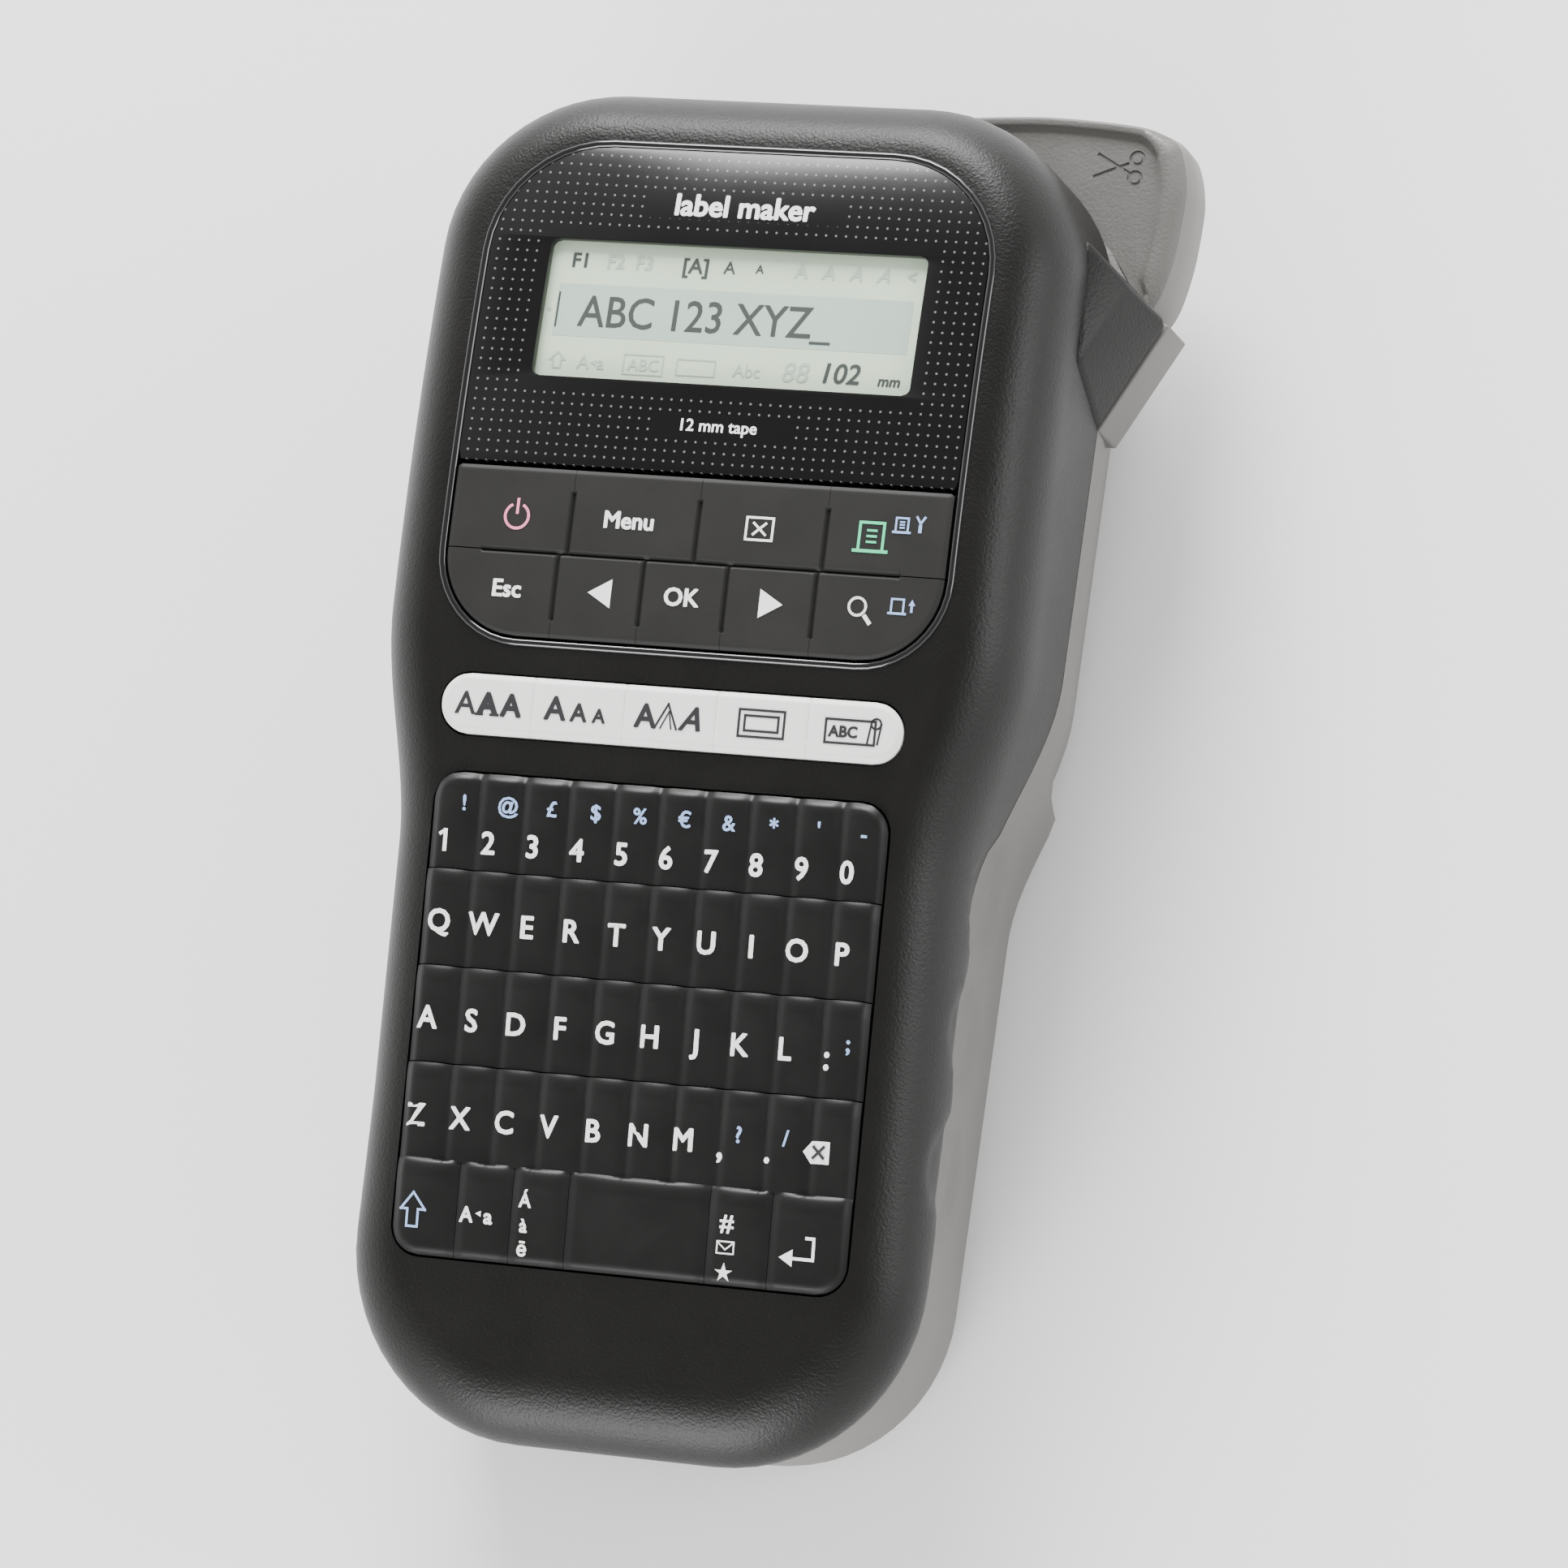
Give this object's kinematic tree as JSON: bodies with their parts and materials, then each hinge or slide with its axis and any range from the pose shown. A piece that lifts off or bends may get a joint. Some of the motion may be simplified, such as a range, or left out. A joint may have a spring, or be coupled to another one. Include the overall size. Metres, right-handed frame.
{
  "type": "label maker",
  "caption": "Handheld label maker with a small keyboard, a display window, a side cutter lever and a lift-off back cover.",
  "frame": {"origin": "on the flat back face that the maker lies on, on the keyboard's centre line", "axes": "+Y towards the display end, +X towards the cutter lever, +Z out of the keyboard face"},
  "size_m": [0.1092, 0.2088, 0.059],
  "materials": {
    "shell_black": "fine-textured satin black moulding",
    "shell_grey": "satin warm grey moulding",
    "panel_gloss": "polished black panel with a clear window",
    "display_glass": "grey-green liquid crystal cell",
    "key_rubber": "dark satin silicone rubber",
    "key_light": "off-white satin keys",
    "circuit_board": "green solder mask",
    "platen_rubber": "matt roller rubber",
    "gear_plastic": "natural white gear plastic",
    "steel": "bright pressed steel",
    "cassette_plastic": "satin dark cassette moulding",
    "cell_wrap": "printed sleeve round a small cell",
    "socket_black": "black socket moulding"
  },
  "bodies": {
    "body": {"front_shell": "shell_black", "rear_shell": "shell_grey", "display_panel": "panel_gloss", "display_cell": "display_glass", "key_membrane": "key_rubber", "key_board": "circuit_board", "feed_motor": "steel", "mechanism_plate": "steel", "print_head": "steel", "tape_cassette": "cassette_plastic", "cutter_anvil": "steel", "lever_pin": "steel", "lever_spring": "steel", "battery_tray": "shell_black", "battery_cell_1": "cell_wrap", "battery_cell_2": "cell_wrap", "battery_cell_3": "cell_wrap", "battery_cell_4": "cell_wrap", "battery_cell_5": "cell_wrap", "battery_cell_6": "cell_wrap", "contact_strip_low": "steel", "contact_strip_high": "steel", "power_socket": "socket_black", "case_screw_1": "steel", "case_screw_2": "steel", "case_screw_3": "steel", "case_screw_4": "steel"},
    "power_key": {"fn_power": "key_rubber"},
    "menu_key": {"fn_menu": "key_rubber"},
    "clear_key": {"fn_clear": "key_rubber"},
    "print_key": {"fn_print": "key_rubber"},
    "escape_key": {"fn_escape": "key_rubber"},
    "left_key": {"fn_left": "key_rubber"},
    "ok_key": {"fn_ok": "key_rubber"},
    "right_key": {"fn_right": "key_rubber"},
    "preview_key": {"fn_preview": "key_rubber"},
    "font_key": {"style_font": "key_light"},
    "size_key": {"style_size": "key_light"},
    "effect_key": {"style_effect": "key_light"},
    "frame_key": {"style_frame": "key_light"},
    "label_key": {"style_label": "key_light"},
    "digit_keys": {"key_row_digits": "key_rubber"},
    "q_keys": {"key_row_q": "key_rubber"},
    "a_keys": {"key_row_a": "key_rubber"},
    "z_keys": {"key_row_z": "key_rubber"},
    "shift_key": {"key_shift": "key_rubber"},
    "caps_key": {"key_caps": "key_rubber"},
    "accent_key": {"key_accent": "key_rubber"},
    "space_key": {"key_space": "key_rubber"},
    "symbol_key": {"key_symbol": "key_rubber"},
    "enter_key": {"key_enter": "key_rubber"},
    "cutter": {"cutter_lever": "shell_grey", "cutter_blade": "steel"},
    "platen": {"platen_roller": "platen_rubber", "platen_gear": "gear_plastic"},
    "idler": {"idler_gear": "gear_plastic"},
    "ribbon_drive": {"ribbon_spindle": "gear_plastic"},
    "motor_shaft": {"motor_pinion": "steel"},
    "cover": {"back_cover": "shell_grey"}
  },
  "joints": [
    {"name": "power_press", "type": "slide", "parent": "body", "child": "power_key", "axis": [0, 0.0661, -0.9978], "range_m": [0, 0.0008], "stiffness_N_per_m": 600},
    {"name": "menu_press", "type": "slide", "parent": "body", "child": "menu_key", "axis": [0, 0.0661, -0.9978], "range_m": [0, 0.0008], "stiffness_N_per_m": 600},
    {"name": "clear_press", "type": "slide", "parent": "body", "child": "clear_key", "axis": [0, 0.0661, -0.9978], "range_m": [0, 0.0008], "stiffness_N_per_m": 600},
    {"name": "print_press", "type": "slide", "parent": "body", "child": "print_key", "axis": [0, 0.0661, -0.9978], "range_m": [0, 0.0008], "stiffness_N_per_m": 600},
    {"name": "escape_press", "type": "slide", "parent": "body", "child": "escape_key", "axis": [0, 0.0992, -0.9951], "range_m": [0, 0.0008], "stiffness_N_per_m": 600},
    {"name": "left_press", "type": "slide", "parent": "body", "child": "left_key", "axis": [0, 0.0992, -0.9951], "range_m": [0, 0.0008], "stiffness_N_per_m": 600},
    {"name": "ok_press", "type": "slide", "parent": "body", "child": "ok_key", "axis": [0, 0.0992, -0.9951], "range_m": [0, 0.0008], "stiffness_N_per_m": 600},
    {"name": "right_press", "type": "slide", "parent": "body", "child": "right_key", "axis": [0, 0.0992, -0.9951], "range_m": [0, 0.0008], "stiffness_N_per_m": 600},
    {"name": "preview_press", "type": "slide", "parent": "body", "child": "preview_key", "axis": [0, 0.0992, -0.9951], "range_m": [0, 0.0008], "stiffness_N_per_m": 600},
    {"name": "font_press", "type": "slide", "parent": "body", "child": "font_key", "axis": [0, 0.1384, -0.9904], "range_m": [0, 0.0008], "stiffness_N_per_m": 600},
    {"name": "size_press", "type": "slide", "parent": "body", "child": "size_key", "axis": [0, 0.1384, -0.9904], "range_m": [0, 0.0008], "stiffness_N_per_m": 600},
    {"name": "effect_press", "type": "slide", "parent": "body", "child": "effect_key", "axis": [0, 0.1384, -0.9904], "range_m": [0, 0.0008], "stiffness_N_per_m": 600},
    {"name": "frame_press", "type": "slide", "parent": "body", "child": "frame_key", "axis": [0, 0.1384, -0.9904], "range_m": [0, 0.0008], "stiffness_N_per_m": 600},
    {"name": "label_press", "type": "slide", "parent": "body", "child": "label_key", "axis": [0, 0.1384, -0.9904], "range_m": [0, 0.0008], "stiffness_N_per_m": 600},
    {"name": "digits_press", "type": "slide", "parent": "body", "child": "digit_keys", "axis": [0, 0.1392, -0.9903], "range_m": [0, 0.0008], "stiffness_N_per_m": 600},
    {"name": "q_press", "type": "slide", "parent": "body", "child": "q_keys", "axis": [0, 0.1392, -0.9903], "range_m": [0, 0.0008], "stiffness_N_per_m": 600},
    {"name": "a_press", "type": "slide", "parent": "body", "child": "a_keys", "axis": [0, 0.1392, -0.9903], "range_m": [0, 0.0008], "stiffness_N_per_m": 600},
    {"name": "z_press", "type": "slide", "parent": "body", "child": "z_keys", "axis": [0, 0.1392, -0.9903], "range_m": [0, 0.0008], "stiffness_N_per_m": 600},
    {"name": "shift_press", "type": "slide", "parent": "body", "child": "shift_key", "axis": [0, 0.1392, -0.9903], "range_m": [0, 0.0008], "stiffness_N_per_m": 600},
    {"name": "caps_press", "type": "slide", "parent": "body", "child": "caps_key", "axis": [0, 0.1392, -0.9903], "range_m": [0, 0.0008], "stiffness_N_per_m": 600},
    {"name": "accent_press", "type": "slide", "parent": "body", "child": "accent_key", "axis": [0, 0.1392, -0.9903], "range_m": [0, 0.0008], "stiffness_N_per_m": 600},
    {"name": "space_press", "type": "slide", "parent": "body", "child": "space_key", "axis": [0, 0.1392, -0.9903], "range_m": [0, 0.0008], "stiffness_N_per_m": 600},
    {"name": "symbol_press", "type": "slide", "parent": "body", "child": "symbol_key", "axis": [0, 0.1392, -0.9903], "range_m": [0, 0.0008], "stiffness_N_per_m": 600},
    {"name": "enter_press", "type": "slide", "parent": "body", "child": "enter_key", "axis": [0, 0.1392, -0.9903], "range_m": [0, 0.0008], "stiffness_N_per_m": 600},
    {"name": "cutter_press", "type": "hinge", "parent": "body", "child": "cutter", "pos_m": [0.021, 0.093, 0.0234], "axis": [0, 0, -1], "range_deg": [0, 6], "stiffness_Nm_per_rad": 3},
    {"name": "platen_spin", "type": "hinge", "parent": "body", "child": "platen", "pos_m": [0.033, 0.07975, 0.0233], "axis": [0, 0, 1], "continuous": true},
    {"name": "idler_spin", "type": "hinge", "parent": "body", "child": "idler", "pos_m": [0.02158, 0.07443, 0.0233], "axis": [0, 0, 1], "continuous": true},
    {"name": "ribbon_spin", "type": "hinge", "parent": "body", "child": "ribbon_drive", "pos_m": [0.01126, 0.0672, 0.0233], "axis": [0, 0, 1], "continuous": true},
    {"name": "motor_spin", "type": "hinge", "parent": "body", "child": "motor_shaft", "pos_m": [0.02517, 0.06456, 0.0233], "axis": [0, 0, 1], "continuous": true},
    {"name": "cover_release", "type": "slide", "parent": "body", "child": "cover", "axis": [0, 0, -1], "range_m": [0, 0.03]}
  ],
  "couplings": [
    {"joint": "idler_spin", "follows": "platen_spin", "ratio": -0.8},
    {"joint": "ribbon_spin", "follows": "platen_spin", "ratio": 1},
    {"joint": "motor_spin", "follows": "platen_spin", "ratio": 1.6}
  ]
}
